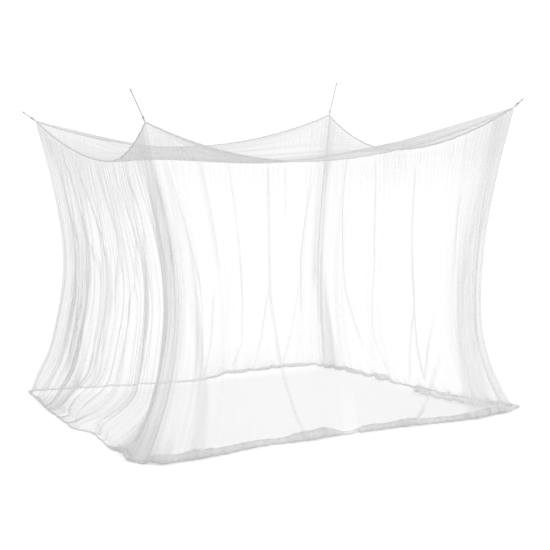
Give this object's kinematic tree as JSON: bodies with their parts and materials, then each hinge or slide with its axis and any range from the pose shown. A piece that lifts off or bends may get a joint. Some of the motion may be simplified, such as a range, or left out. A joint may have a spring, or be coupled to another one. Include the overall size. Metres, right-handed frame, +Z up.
{
  "type": "camping mosquito net",
  "caption": "Box-shaped sheer mosquito net with a sagging roof, drawn-in folded walls, bound top edges and corner cords, its hem lying on the ground.",
  "frame": {"origin": "on the ground, at the middle of the box around the net without its cords", "axes": "+X along the long walls from left to right, +Y from the front wall to the back wall, +Z up"},
  "size_m": [2.3101, 1.9559, 1.7915],
  "materials": {
    "net": "sheer white polyester net, fine even mesh",
    "tape": "folded white woven binding tape",
    "cord": "thin white twisted cord"
  },
  "bodies": {
    "root": {"roof": "net", "wall_front": "net", "wall_right": "net", "wall_back": "net", "wall_left": "net", "tape_front": "tape", "tape_right": "tape", "tape_back": "tape", "tape_left": "tape", "tab_front_left": "tape", "tab_front_right": "tape", "tab_back_right": "tape", "tab_back_left": "tape", "cord_front_left": "cord", "cord_front_right": "cord", "cord_back_right": "cord", "cord_back_left": "cord", "knot_front_left": "cord", "knot_front_right": "cord", "knot_back_right": "cord", "knot_back_left": "cord"}
  },
  "joints": []
}
